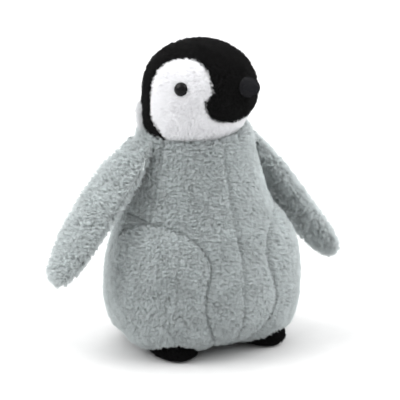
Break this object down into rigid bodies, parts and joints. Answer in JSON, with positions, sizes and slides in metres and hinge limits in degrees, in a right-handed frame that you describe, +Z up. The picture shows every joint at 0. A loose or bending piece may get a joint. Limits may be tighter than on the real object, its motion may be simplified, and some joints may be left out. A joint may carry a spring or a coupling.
{
  "type": "plush penguin",
  "caption": "Sitting plush penguin chick with a rounded fibre-filled body, a turning black and white head, hanging flippers, bulging thighs and short padded feet.",
  "frame": {"origin": "on the surface the toy sits on, under the middle of the head, at the front part of the flat base panel", "axes": "+Z up, the toy faces -Y, +X is the toy's own left; the head is turned 25 degrees towards +X at rest"},
  "size_m": [0.2552, 0.1514, 0.2486],
  "materials": {
    "grey_plush": "soft curled pile, light blue-grey",
    "black_plush": "short dense velvety pile, black",
    "white_plush": "long soft pile, white",
    "nape_plush": "long soft pile, pale grey",
    "foot_plush": "short velvety pile, black",
    "beak_velour": "smooth short velour, blue-black",
    "eye_plastic": "polished black",
    "washer_plastic": "natural white nylon",
    "fibrefill": "white polyester wadding",
    "pouch_cloth": "plain woven polyester",
    "pellets": "loose plastic pellets"
  },
  "bodies": {
    "torso": {"base_panel": "grey_plush", "chest_panel_left": "grey_plush", "chest_panel_right": "grey_plush", "side_panel_left": "grey_plush", "side_panel_right": "grey_plush", "haunch_panel_left": "grey_plush", "haunch_panel_right": "grey_plush", "back_panel_left": "grey_plush", "back_panel_right": "grey_plush", "thigh_front_panel_left": "grey_plush", "thigh_front_panel_right": "grey_plush", "thigh_outer_panel_left": "grey_plush", "thigh_outer_panel_right": "grey_plush", "torso_filling": "fibrefill", "thigh_filling_left": "fibrefill", "foot_upper_left": "foot_plush", "foot_sole_left": "foot_plush", "foot_filling_left": "fibrefill", "thigh_filling_right": "fibrefill", "foot_upper_right": "foot_plush", "foot_sole_right": "foot_plush", "foot_filling_right": "fibrefill", "pellet_pouch": "pouch_cloth", "pellet_fill": "pellets"},
    "neck": {"neck_filling": "fibrefill"},
    "head": {"hood_panel_left": "black_plush", "cheek_panel_left": "white_plush", "eye_left": "eye_plastic", "eye_washer_left": "washer_plastic", "hood_panel_right": "black_plush", "cheek_panel_right": "white_plush", "eye_right": "eye_plastic", "eye_washer_right": "washer_plastic", "chin_panel": "white_plush", "nape_panel": "nape_plush", "beak_upper": "beak_velour", "beak_lower": "beak_velour", "head_filling": "fibrefill"},
    "flipper_left": {"flipper_outer_panel_left": "grey_plush", "flipper_inner_panel_left": "grey_plush", "flipper_filling_left": "fibrefill"},
    "flipper_right": {"flipper_outer_panel_right": "grey_plush", "flipper_inner_panel_right": "grey_plush", "flipper_filling_right": "fibrefill"}
  },
  "joints": [
    {"name": "head_turn", "type": "hinge", "parent": "torso", "child": "neck", "pos_m": [0, -0.005, 0.16], "axis": [0, 0, 1], "range_deg": [-20, 20], "stiffness_Nm_per_rad": 0.3},
    {"name": "head_nod", "type": "hinge", "parent": "neck", "child": "head", "pos_m": [0, -0.005, 0.209], "axis": [0.9063, 0.4226, 0], "range_deg": [-8, 8], "stiffness_Nm_per_rad": 0.6},
    {"name": "flipper_left_flap", "type": "hinge", "parent": "torso", "child": "flipper_left", "pos_m": [0.0545, 0.014, 0.154], "axis": [0, -1, 0], "range_deg": [-6, 60], "stiffness_Nm_per_rad": 0.3},
    {"name": "flipper_right_flap", "type": "hinge", "parent": "torso", "child": "flipper_right", "pos_m": [-0.054, 0.006, 0.16], "axis": [0, 1, 0], "range_deg": [-6, 60], "stiffness_Nm_per_rad": 0.3}
  ]
}
